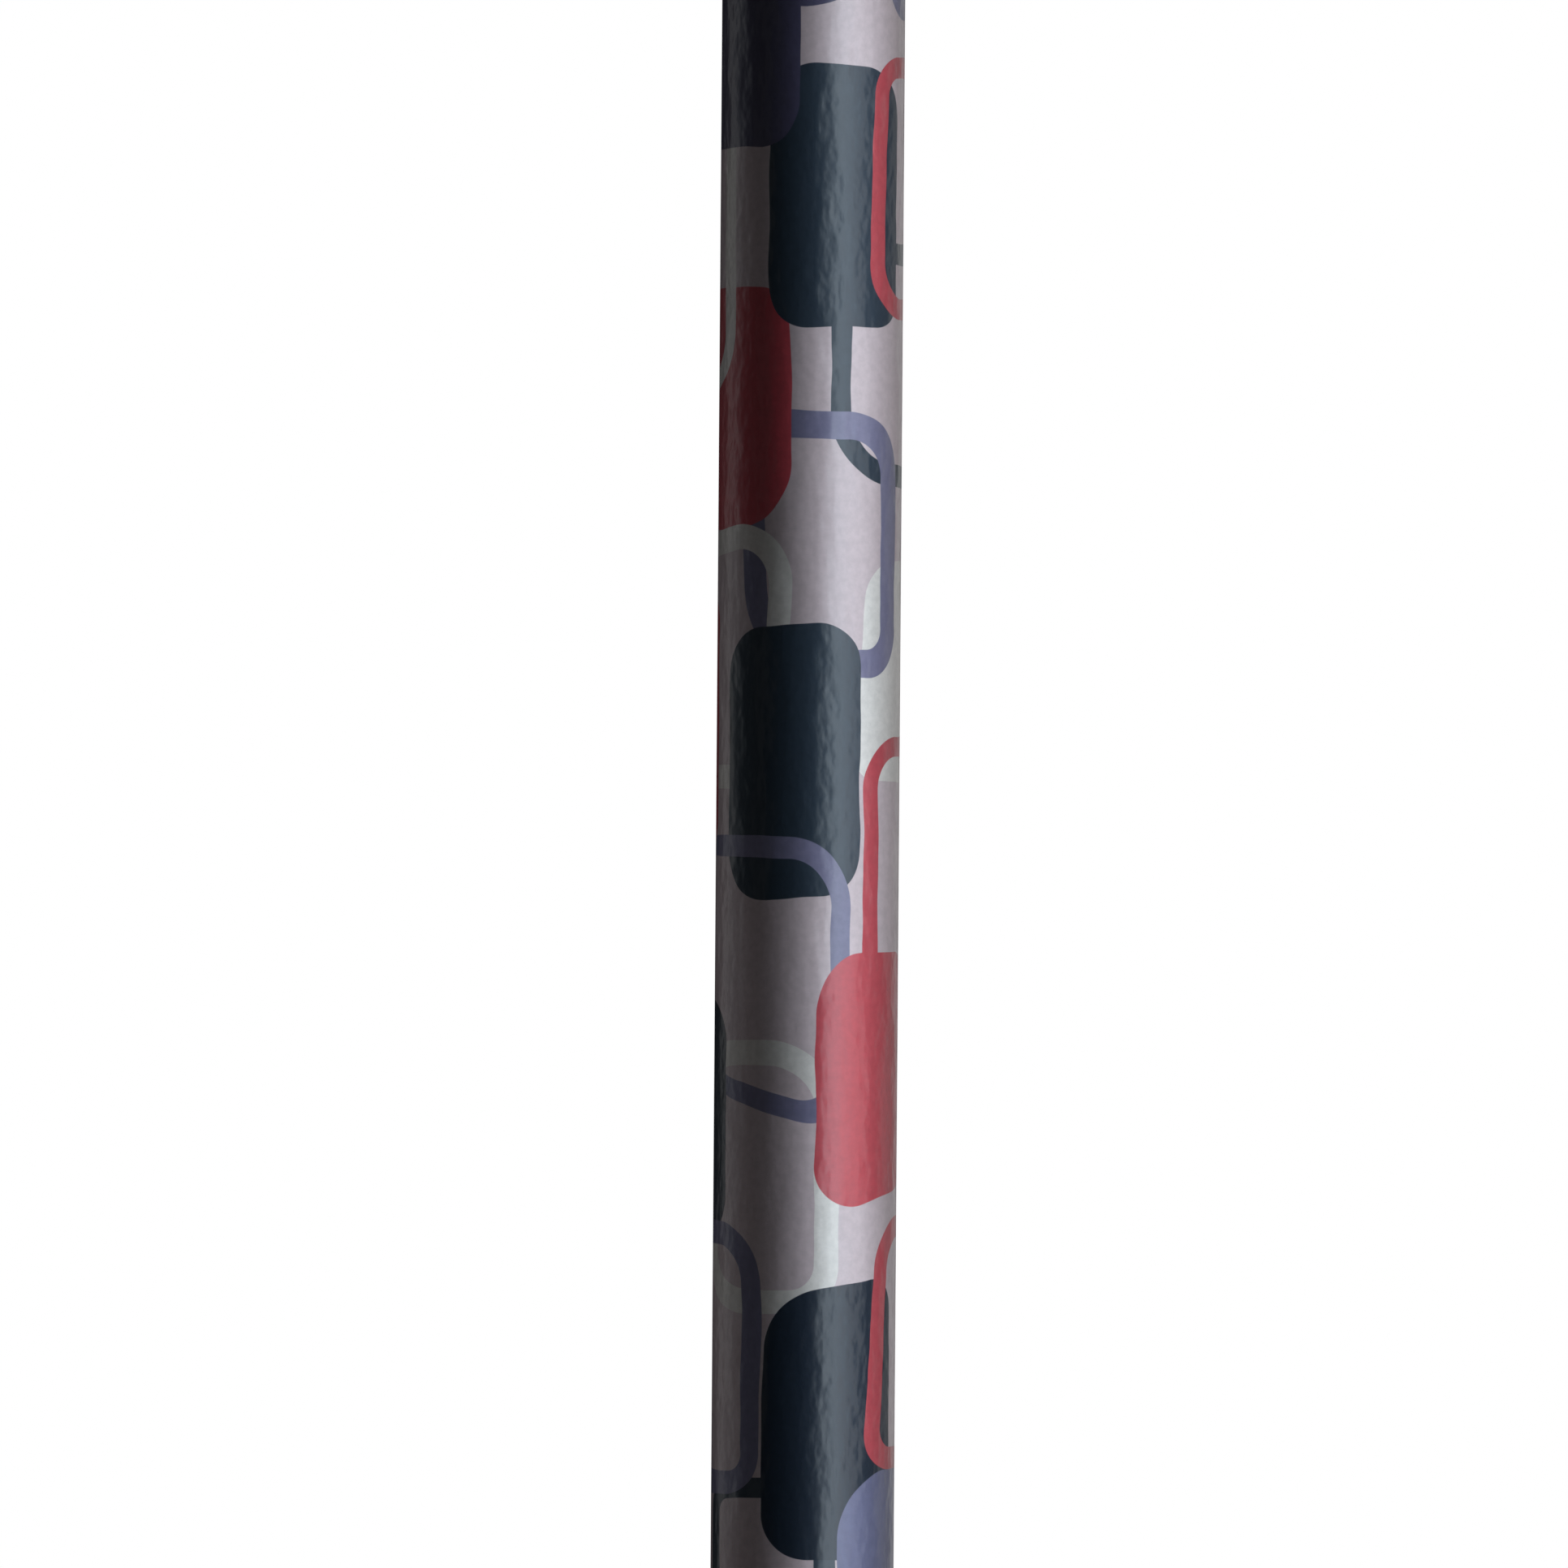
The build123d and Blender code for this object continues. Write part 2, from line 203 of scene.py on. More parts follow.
# corners are the radii at top left, top right, bottom right and bottom left. A line of 0 is a filled
# shape. slopes are how much the top and the bottom fall for each step right, and leans are how much
# the left and the right side shift right for each step down.
motifs = (
    # the back of the barrel, furthest from the shown side
    Motif("slate", 27.5, 52, -16, 24, (7, 6, 7, 6)),
    Motif("red", 33, 57.5, 98, 142, (7, 7, 6, 8), 0, (0.05, -0.06)),
    Motif("lavender", -60, -36, 26, 70, (7, 7, 7, 7), 0, (-0.06, 0.05)),
    Motif("offwhite", -62, -33.5, 128, 170, (6, 7, 6, 6)),
    Motif("slate", 30.5, 55, 170, 214, (8, 6, 7, 7), 0, (0.06, 0)),
    Motif("red", -60, -37, 188, 232, (7, 8, 7, 6), 0, (0, 0.08)),
    Motif("offwhite", 25, 56, 206, 250, (9, 9, 9, 9), 4.2, (0.04, 0)),
    Motif("slate", -54, -29.5, 74, 118, (7, 7, 8, 6), 0, (0, -0.05)),
    Motif("lavender", 24, 54, 60, 104, (10, 10, 9, 9), 3.8, (-0.04, 0.04)),
    Motif("slate", -57, -30, 232, 276, (9, 9, 9, 9), 3.6),
    Motif("indigo", -58, -33, -22, 18, (6, 6, 7, 7)),
    Motif("red", -66, -38, 96, 142, (9, 10, 10, 9), 3.6, (0, 0.06)),
    Motif("offwhite", 35, 66, 20, 64, (9, 9, 10, 9), 4.0, (0.05, -0.05)),
    Motif("lavender", 36, 66, 128, 172, (9, 9, 9, 10), 3.9),
    Motif("indigo", 38, 62, 224, 268, (7, 7, 7, 7)),
    # the shown side, from the bottom layer up
    Motif("offwhite", 8.9, 34, 92, 128, (7, 6, 6, 4.5), 0, (0, 0), (-0.06, 0)),
    Motif("slate", 3.3, 33, 40, 79.8, (9, 9, 10, 12), 3.6, (0, 0.04)),
    Motif("lavender", -12.2, 17.7, 67.6, 111, (9, 11, 8, 14.8), 4.5, (0, 0), (0.06, 0)),
    Motif("red", -28, -3.2, 47.5, 87, (6, 5, 11.5, 7), 0, (0, 0), (0, 0.03)),
    Motif("slate", -7.3, 17.5, 11.1, 54, (8.5, 8, 5.5, 6.5), 0, (0.07, 0)),
    Motif("offwhite", -45, -14.6, 16, 64, (9, 8, 9, 9), 3.5),
    Motif("red", 10.6, 41, 9.5, 52.5, (6.5, 9, 9, 9.5), 3.5, (0, 0), (-0.026, 0)),
    Motif("offwhite", -34, -3.1, 87, 129.5, (13, 10.5, 8, 9), 3.9, (-0.14, 0)),
    Motif("slate", -15.3, 9, 102.6, 147.2, (7.5, 7.5, 6.5, 9), 0, (-0.06, -0.09)),
    Motif("offwhite", -23, 5.7, 170.4, 215, (9, 11.5, 8, 12), 4.1),
    Motif("lavender", -30, 7.5, 137, 180.8, (9, 10.5, 10, 17), 3.5, (0, 0.28)),
    Motif("red", 9.8, 39, 120.5, 170, (9, 9, 9, 9), 3.3),
    Motif("red", 1.6, 27, 156, 196, (9, 8, 7, 8), 0, (0, -0.22)),
    Motif("slate", -40, -15.8, 164, 202, (6, 7, 6, 6)),
    Motif("slate", -20.5, 5.5, 241.5, 286, (6, 6, 9, 9), 3.6),
    Motif("lavender", -38, -7.5, 200, 244.4, (10, 10, 7, 9), 3.8),
    Motif("deep_slate", -7, 17.8, 210.4, 254.9, (8.5, 6, 7, 8), 0, (-0.18, 0)),
    Motif("red", 12, 42, 199, 240.5, (9, 9, 9, 7), 3.7, (0, 0), (-0.08, 0)),
    Motif("periwinkle", 5.8, 31, 240.5, 285, (11, 7, 7, 7)),
    Motif("red", -44, -20.2, 97, 139, (6, 5, 5, 6)),
    Motif("indigo", -27, -2.2, -20, 24.7, (6, 5, 7.5, 6)),
    Motif("indigo", -13, 11, -42, 1.9, (6, 6, 13, 6)),
    Motif("lavender", 14.8, 39, -40, 3.3, (6, 6, 6, 6)),
)


def motif_group():
    """A node group that says whether a point of the flat sheet lies in one motif."""
    group = bpy.data.node_groups.new("motif", "ShaderNodeTree")
    shader = Shader(group)
    sockets = (
        ("Point", "NodeSocketVector"), ("Middle", "NodeSocketVector"), ("Half", "NodeSocketVector"),
        ("Slopes", "NodeSocketVector"), ("Leans", "NodeSocketVector"),
        ("Left Corners", "NodeSocketVector"), ("Right Corners", "NodeSocketVector"),
        ("Line", "NodeSocketFloat"),
    )
    for name, kind in sockets:
        group.interface.new_socket(name, in_out="INPUT", socket_type=kind)
    group.interface.new_socket("Inside", in_out="OUTPUT", socket_type="NodeSocketFloat")
    given = shader.add("NodeGroupInput").outputs
    x, y, _ = shader.split(shader.vector("SUBTRACT", given["Point"], given["Middle"]))
    half_x, half_y, _ = shader.split(given["Half"])
    # where between the top and the bottom, and between the left and the right, the point lies
    share_y = shader.between(y, shader.math("MULTIPLY", half_y, -1.0), half_y, smooth=False)
    share_x = shader.between(x, shader.math("MULTIPLY", half_x, -1.0), half_x, smooth=False)
    top_slope, bottom_slope, _ = shader.split(given["Slopes"])
    left_lean, right_lean, _ = shader.split(given["Leans"])
    slope = shader.between(share_y, 0.0, 1.0, top_slope, bottom_slope, smooth=False)
    lean = shader.between(share_x, 0.0, 1.0, left_lean, right_lean, smooth=False)
    level_y = shader.math("SUBTRACT", y, shader.math("MULTIPLY", slope, x))
    level_x = shader.math("SUBTRACT", x, shader.math("MULTIPLY", lean, y))
    # the radius of the nearest corner
    lower = shader.math("GREATER_THAN", level_y, 0.0)
    righter = shader.math("GREATER_THAN", level_x, 0.0)
    left_top, left_bottom, _ = shader.split(given["Left Corners"])
    right_top, right_bottom, _ = shader.split(given["Right Corners"])
    left_r = shader.between(lower, 0.0, 1.0, left_top, left_bottom, smooth=False)
    right_r = shader.between(lower, 0.0, 1.0, right_top, right_bottom, smooth=False)
    corner = shader.between(righter, 0.0, 1.0, left_r, right_r, smooth=False)
    # signed distance to a rectangle with that corner
    over_x = shader.math("ADD", shader.math("SUBTRACT", shader.math("ABSOLUTE", level_x), half_x), corner)
    over_y = shader.math("ADD", shader.math("SUBTRACT", shader.math("ABSOLUTE", level_y), half_y), corner)
    outside = shader.vector(
        "LENGTH", shader.join(shader.math("MAXIMUM", over_x, 0.0), shader.math("MAXIMUM", over_y, 0.0))
    )
    inside = shader.math("MINIMUM", shader.math("MAXIMUM", over_x, over_y), 0.0)
    distance = shader.math("SUBTRACT", shader.math("ADD", outside, inside), corner)
    # an outline keeps only a band of its own width inside the edge
    half_line = shader.math("DIVIDE", given["Line"], 2.0)
    from_middle = shader.math("ABSOLUTE", shader.math("ADD", distance, half_line))
    band = shader.math("SUBTRACT", from_middle, half_line)
    is_line = shader.math("GREATER_THAN", given["Line"], 0.0)
    edge = shader.between(is_line, 0.0, 1.0, distance, band, smooth=False)
    made = shader.add("NodeGroupOutput")
    softness = 0.07  # half the width of a printed edge, in millimetres
    shader.feed(made.inputs[0], shader.between(edge, -softness, softness, 1.0, 0.0))
    return group


def print_colour(shader, place):
    """The printed sheet's colour at a point of the barrel, and where it lies on the flat sheet."""
    x, y, z = shader.split(place)
    turn = shader.math("ARCTAN2", x, shader.math("MULTIPLY", y, -1.0))
    across = shader.math("MULTIPLY", turn, barrel_r / MM)
    down = shader.math("MULTIPLY", shader.math("SUBTRACT", print_datum, z), 1 / MM)
    sheet_point = shader.join(across, down)
    # hand-cut shapes: the edges wander by up to half of this reach, in millimetres
    reach = 1.1
    wander = shader.add("ShaderNodeTexNoise")
    wander.inputs["Scale"].default_value = 0.09
    wander.inputs["Detail"].default_value = 1.0
    shader.feed(wander.inputs["Vector"], sheet_point)
    centred = shader.vector("SUBTRACT", wander.outputs["Color"], (0.5, 0.5, 0.5))
    shift = shader.vector("MULTIPLY", centred, (reach,) * 3)
    point = shader.vector("ADD", sheet_point, shift)
    group = motif_group()
    colour = (*inks["lilac"], 1.0)
    for motif in motifs:
        node = shader.add("ShaderNodeGroup", node_tree=group)
        top_left, top_right, bottom_right, bottom_left = motif.corners
        values = {
            "Point": point,
            "Middle": ((motif.left + motif.right) / 2, (motif.top + motif.bottom) / 2, 0),
            "Half": ((motif.right - motif.left) / 2, (motif.bottom - motif.top) / 2, 0),
            "Slopes": (*motif.slopes, 0),
            "Leans": (*motif.leans, 0),
            "Left Corners": (top_left, bottom_left, 0),
            "Right Corners": (top_right, bottom_right, 0),
            "Line": motif.line,
        }
        for name, value in values.items():
            shader.feed(node.inputs[name], value)
        colour = shader.blend(node.outputs[0], colour, (*inks[motif.ink], 1.0))
    return colour, sheet_point


def printed_film():
    """Printed paper under a satin film. The paper is nearly smooth; the film has grain and slow waves."""
    material, shader, surface = new_material(
        "printed_film", Roughness=0.45, Specular_IOR_Level=0.3, Coat_Weight=1.0, Coat_Roughness=0.30)
    place = object_place(shader)
    colour, sheet_point = print_colour(shader, place)
    mottle = shader.noise(sheet_point, 0.7, 4.0, 0.65)
    shade = shader.between(mottle, 0.3, 0.7, 0.93, 1.05)
    shader.feed(surface.inputs["Base Color"], shader.shaded(colour, shade))
    grain = shader.noise(sheet_point, 2.6, 3.0, 0.6)
    canvas = shader.noise(shader.vector("MULTIPLY", sheet_point, (1.0, 0.6, 1.0)), 0.6, 1.5, 0.45)
    waves = shader.noise(shader.vector("MULTIPLY", sheet_point, (1.0, 0.4, 1.0)), 0.2, 2.0)
    paper = shader.bump(canvas, 0.06 * MM, 0.5)
    paper = shader.bump(waves, 0.3 * MM, 0.6, paper)
    shader.feed(surface.inputs["Normal"], paper)
    film = shader.bump(grain, 0.012 * MM, 0.5)
    film = shader.bump(canvas, 0.34 * MM, 0.7, film)
    film = shader.bump(waves, 1.0 * MM, 0.7, film)
    shader.feed(surface.inputs["Coat Normal"], film)
    shader.feed(surface.inputs["Roughness"], shader.between(grain, 0.3, 0.7, 0.38, 0.47))
    return material


# ================================================================ pieces
def finish_piece(name, mesh, body, material, replaced, smooth_angle=40):
    """Links a mesh as a piece that rides on a body and stands for CAD nodes."""
    piece = bpy.data.objects.new(name, mesh)
    bpy.context.scene.collection.objects.link(piece)
    mesh.materials.append(material)
    mesh.shade_smooth()
    mesh.set_sharp_from_angle(angle=radians(smooth_angle))
    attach(piece, body)
    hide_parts(*replaced)
    return piece


def wrap_mesh():
    """The printed sheet: one closed thin shell, with a step in its outer face at the back for the lap."""
    lap_rise = 0.14 * MM
    lap_start, lap_full = half_round - 5.6, half_round - 4.2  # where the sheet starts and ends its climb
    inner_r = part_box("cardboard_tube")[1].x
    edge_round = 0.06 * MM
    steps = 288
    low, high = barrel_low.z, barrel_high.z
    rows = (
        (low + edge_round, 0), (low + 1.5 * MM, 0), (barrel_middle, 0), (high - 1.5 * MM, 0),
        (high - edge_round, 0), (high, -edge_round),
    )
    mesh = bpy.data.meshes.new("printed_wrap_sheet")
    made = bmesh.new()

    def outer_r(across):
        share = min(max((across - lap_start) / (lap_full - lap_start), 0), 1)
        return barrel_r + lap_rise * share * share * (3 - 2 * share)

    columns = []
    for step in range(steps + 1):
        across = -half_round + 2 * half_round * step / steps
        turn = across * MM / barrel_r
        spots = [(inner_r, low), (outer_r(across) - edge_round, low)]
        spots += [(outer_r(across) + drop, z) for z, drop in rows]
        spots += [(inner_r, high)]
        columns.append([made.verts.new((r * sin(turn), -r * cos(turn), z)) for r, z in spots])
    count = len(columns[0])
    for left, right in zip(columns, columns[1:]):
        for row in range(count):
            above = (row + 1) % count
            made.faces.new((left[row], right[row], right[above], left[above]))
    made.faces.new(columns[0])
    made.faces.new(list(reversed(columns[-1])))
    bmesh.ops.recalc_face_normals(made, faces=made.faces)
    made.to_mesh(mesh)
    made.free()
    return mesh


# ================================================================ other materials
def millimetres(shader):
    """The point in the frame, in millimetres."""
    return shader.vector("MULTIPLY", object_place(shader), (1 / MM,) * 3)


def ring_point(shader):
    """Where a turned surface lies: one value that follows its outline, and two that follow the turn."""
    height_share, turn_share = 1.37, 0.5
    x, y, z = shader.split(millimetres(shader))
    away = shader.math("MAXIMUM", shader.vector("LENGTH", shader.join(x, y)), 0.01)
    way = shader.math("ADD", away, shader.math("MULTIPLY", z, height_share))
    return shader.join(
        way,
        shader.math("MULTIPLY", shader.math("DIVIDE", x, away), turn_share),
        shader.math("MULTIPLY", shader.math("DIVIDE", y, away), turn_share),
    )


def tinted(shader, surface, colour, pattern, low, high):
    """Feeds a colour whose strength follows a pattern."""
    shade = shader.between(pattern, 0.3, 0.7, low, high)
    shader.feed(surface.inputs["Base Color"], shader.shaded((*colour, 1.0), shade))


def turned_metal(name, colour, roughness):
    """Lathe-turned metal: fine rings round the axis, and a faint unevenness of polish from handling."""
    material, shader, surface = new_material(name, Metallic=1.0)
    place = ring_point(shader)
    lines = shader.noise(place, 11.0, 3.0, 0.7)
    bands = shader.noise(place, 1.6, 2.0)
    smudge = shader.noise(millimetres(shader), 0.16, 4.0, 0.6)
    tinted(shader, surface, colour, bands, 0.95, 1.03)
    polish = shader.math("ADD", shader.between(lines, 0.3, 0.7, roughness - 0.05, roughness + 0.05),
                         shader.between(smudge, 0.45, 0.75, 0.0, 0.07))
    shader.feed(surface.inputs["Roughness"], polish)
    shader.feed(surface.inputs["Normal"], shader.bump(lines, 0.012 * MM, 0.8))
    return material


def moulded(name, colour, roughness, grain_scale, depth, **settings):
    """Moulded plastic or rubber with an even fine grain and rubbed patches."""
    material, shader, surface = new_material(name, **settings)
    place = millimetres(shader)
    grain = shader.noise(place, grain_scale, 3.0, 0.65)
    patches = shader.noise(place, 0.22, 3.0)
    tinted(shader, surface, colour, patches, 0.85, 1.15)
    rubbed = shader.math("ADD", shader.between(patches, 0.35, 0.7, roughness - 0.06, roughness + 0.05),
                         shader.between(grain, 0.3, 0.7, -0.03, 0.03))
    shader.feed(surface.inputs["Roughness"], rubbed)
    shader.feed(surface.inputs["Normal"], shader.bump(grain, depth, 0.7))
    return material


def felt_material():
    """Pressed black wool felt: tangled fibres of two sizes."""
    material, shader, surface = new_material(
        "black_felt", Roughness=0.95, Sheen_Weight=0.6, Sheen_Roughness=0.5)
    place = millimetres(shader)
    fibres = shader.noise(place, 5.5, 5.0, 0.75, 1.6)
    clumps = shader.noise(place, 1.3, 2.0)
    tinted(shader, surface, (0.030, 0.030, 0.032), fibres, 0.5, 1.7)
    normal = shader.bump(clumps, 0.12 * MM, 0.6)
    shader.feed(surface.inputs["Normal"], shader.bump(fibres, 0.09 * MM, 0.9, normal))
    return material


def card_material(name, colour, spiral_pitch):
    """Grey or black card: short fibres, and a wound tube's spiral joints where there is a pitch."""
    material, shader, surface = new_material(name, Roughness=0.86)
    x, y, z = shader.split(millimetres(shader))
    fibres = shader.noise(shader.vector("MULTIPLY", millimetres(shader), (1.0, 1.0, 2.6)), 1.7, 5.0, 0.7)
    shade = shader.between(fibres, 0.3, 0.7, 0.8, 1.12)
    height = fibres
    if spiral_pitch:
        turn = shader.math("DIVIDE", shader.math("ARCTAN2", y, x), 2 * pi)
        wound = shader.math("ADD", shader.math("DIVIDE", z, spiral_pitch), turn)
        from_joint = shader.math("MULTIPLY", shader.math("PINGPONG", wound, 0.5), spiral_pitch)
        joint = shader.between(from_joint, 0.0, 0.5)
        shade = shader.math("MULTIPLY", shade, shader.between(joint, 0.0, 1.0, 0.55, 1.0))
        height = shader.math("ADD", fibres, joint)
    shader.feed(surface.inputs["Base Color"], shader.shaded((*colour, 1.0), shade))
    shader.feed(surface.inputs["Normal"], shader.bump(height, 0.06 * MM, 0.8))
    return material


def mirror_material():
    """A strip silvered on its inner face, with a painted back and painted edges."""
    material, shader, surface = new_material("front_mirror")
    mirror_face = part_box("mirror_a")[0].y / MM  # how far each silvered face is from the centre line
    x, y, z = shader.split(millimetres(shader))
    reach = None
    for turn in (90, 210, 330):
        along = shader.math("ADD", shader.math("MULTIPLY", x, cos(radians(turn))),
                            shader.math("MULTIPLY", y, sin(radians(turn))))
        reach = along if reach is None else shader.math("MAXIMUM", reach, along)
    back = shader.between(reach, mirror_face + 0.01, mirror_face + 0.06)
    haze = shader.noise(millimetres(shader), 0.5, 4.0)
    paint = shader.blend(haze, (0.10, 0.11, 0.11, 1.0), (0.17, 0.18, 0.17, 1.0))
    shader.feed(surface.inputs["Base Color"], shader.blend(back, (0.93, 0.935, 0.93, 1.0), paint))
    shader.feed(surface.inputs["Metallic"], shader.math("SUBTRACT", 1.0, back))
    shader.feed(surface.inputs["Roughness"], shader.math("ADD", shader.math("MULTIPLY", back, 0.45),
                                                         shader.between(haze, 0.3, 0.8, 0.012, 0.03)))
    shader.feed(surface.inputs["Normal"], shader.bump(haze, 0.01 * MM, 0.1))
    return material


def tape_material():
    """Black cloth tape: a plain weave under a thin coat."""
    material, shader, surface = new_material(
        "black_tape", Roughness=0.6, Coat_Weight=0.15, Coat_Roughness=0.4)
    x, y, z = shader.split(millimetres(shader))
    thread_pitch = 0.45
    thread = 2 * pi / thread_pitch
    slant = shader.math("ADD", x, shader.math("MULTIPLY", y, 1.6))
    across = shader.math("SINE", shader.math("MULTIPLY", slant, thread))
    up = shader.math("SINE", shader.math("MULTIPLY", z, thread))
    weave = shader.math("ADD", shader.math("MULTIPLY", shader.math("MULTIPLY", across, up), 0.5), 0.5)
    tinted(shader, surface, (0.020, 0.020, 0.021), weave, 0.7, 1.4)
    shader.feed(surface.inputs["Normal"], shader.bump(weave, 0.05 * MM, 0.8))
    return material


def foam_material():
    """Closed-cell foam: small cells of mixed size."""
    material, shader, surface = new_material("foam", Roughness=0.9)
    place = millimetres(shader)
    small = shader.cells(place, 2.6)
    large = shader.cells(place, 1.1)
    tinted(shader, surface, (0.09, 0.09, 0.10), small, 0.6, 1.25)
    normal = shader.bump(large, 0.1 * MM, 0.5)
    shader.feed(surface.inputs["Normal"], shader.bump(small, 0.12 * MM, 0.8, normal))
    return material


def see_through(name, colour, cloud, roughness, ior, transmission=1.0, bubbles=0.0):
    """Clear or coloured glass or plastic that lamps shine through, with a body that varies a little."""
    light_through = 0.85
    material, shader, surface = new_material(name, IOR=ior, Transmission_Weight=transmission)
    tree = material.node_tree
    place = millimetres(shader)
    swirl = shader.noise(place, 0.55, 3.0, 0.55, 1.2)
    tint = shader.blend(shader.between(swirl, 0.35, 0.7), (*colour, 1.0), (*cloud, 1.0))
    shader.feed(surface.inputs["Base Color"], tint)
    fine = shader.noise(place, 3.5, 4.0, 0.7)
    handled = shader.between(fine, 0.3, 0.75, roughness, roughness * 2.2 + 0.01)
    shader.feed(surface.inputs["Roughness"], handled)
    normal = shader.bump(swirl, 0.05 * MM, 0.25)
    if bubbles:
        pits = shader.between(shader.cells(place, bubbles), 0.0, 0.16)
        normal = shader.bump(pits, 0.05 * MM, 0.6, normal)
    shader.feed(surface.inputs["Normal"], normal)
    through = shader.add("ShaderNodeBsdfTransparent")
    shader.feed(through.inputs["Color"], tint)
    mix = shader.add("ShaderNodeMixShader")
    path = shader.add("ShaderNodeLightPath")
    shader.feed(mix.inputs[0], shader.math("MULTIPLY", path.outputs["Is Shadow Ray"], light_through))
    output = next(node for node in tree.nodes if node.bl_idname == "ShaderNodeOutputMaterial")
    tree.links.new(surface.outputs[0], mix.inputs[1])
    tree.links.new(through.outputs[0], mix.inputs[2])
    tree.links.new(mix.outputs[0], output.inputs["Surface"])
    return material


def foil_material():
    """Bright pressed foil: a fine hammered face with a slight rainbow in its varnish."""
    material, shader, surface = new_material("silver_sequin", Metallic=1.0, Roughness=0.16)
    place = millimetres(shader)
    facets = shader.cells(place, 1.9)
    hue = shader.noise(place, 0.9, 2.0)
    warm = shader.blend(shader.between(hue, 0.35, 0.65), (0.80, 0.86, 0.92, 1.0), (0.93, 0.86, 0.88, 1.0))
    shader.feed(surface.inputs["Base Color"], warm)
    shader.feed(surface.inputs["Normal"], shader.bump(facets, 0.06 * MM, 0.7))
    return material


# ================================================================ turned pieces
arc_steps = 5
hold = 0.06  # a support point this far from each rounding keeps the flats flat
on_axis = 0.006  # a smaller radius than this is a point on the centre line
slip = 0.1  # the gap between parts that fit in one another


def rounded(*corners):
    """A closed outline in millimetres. A corner is (radius, height) or (radius, height, rounding)."""
    points = []
    for before, corner, after in zip(corners[-1:] + corners[:-1], corners, corners[1:] + corners[:1]):
        place = Vector(corner[:2])
        if len(corner) == 2:
            points.append(place)
            continue
        back, ahead = Vector(before[:2]) - place, Vector(after[:2]) - place
        half = back.angle(ahead) / 2
        trim = min(corner[2] / tan(half), 0.45 * min(back.length, ahead.length))
        radius = trim * tan(half)
        back.normalize()
        ahead.normalize()
        centre = place + (back + ahead).normalized() * (radius / sin(half))
        start, end = place + back * trim - centre, place + ahead * trim - centre
        points.append(place + back * (trim + hold))
        for step in range(arc_steps + 1):
            points.append(centre + start.lerp(end, step / arc_steps).normalized() * radius)
        points.append(place + ahead * (trim + hold))
    return points


def lathe(name, outline, steps=160, ripple=None):
    """An outline turned round the Z axis into a closed mesh. A ripple gives each point's own radius."""
    mesh = bpy.data.meshes.new(name)
    made = bmesh.new()
    rings = []
    for r, z in outline:
        if r < on_axis:
            rings.append([made.verts.new((0, 0, z * MM))] * steps)
            continue
        ring = []
        for step in range(steps):
            turn = 2 * pi * step / steps
            out = (ripple(turn, r, z) if ripple else r) * MM
            ring.append(made.verts.new((out * sin(turn), -out * cos(turn), z * MM)))
        rings.append(ring)
    for one, other in zip(rings, rings[1:] + rings[:1]):
        if one[0] is one[1] and other[0] is other[1]:
            continue
        for step in range(steps):
            ahead = (step + 1) % steps
            made.faces.new(list(dict.fromkeys((one[step], one[ahead], other[ahead], other[step]))))
    bmesh.ops.recalc_face_normals(made, faces=made.faces)
    made.to_mesh(mesh)
    made.free()
    return mesh


def levels(node):
    """The outer radius, bottom and top of a CAD node, in millimetres."""
    low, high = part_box(node)
    return high.x / MM, low.z / MM, high.z / MM


def turned(name, node, body, material, slot, outline, **settings):
    """A turned piece that stands for one CAD node."""
    return finish_piece(name, lathe(name, outline, **settings), body, material, [node])


def disc(radius, low, high, rounding):
    """The outline of a flat disc."""
    return rounded((0, low), (radius, low, rounding), (radius, high, rounding), (0, high))


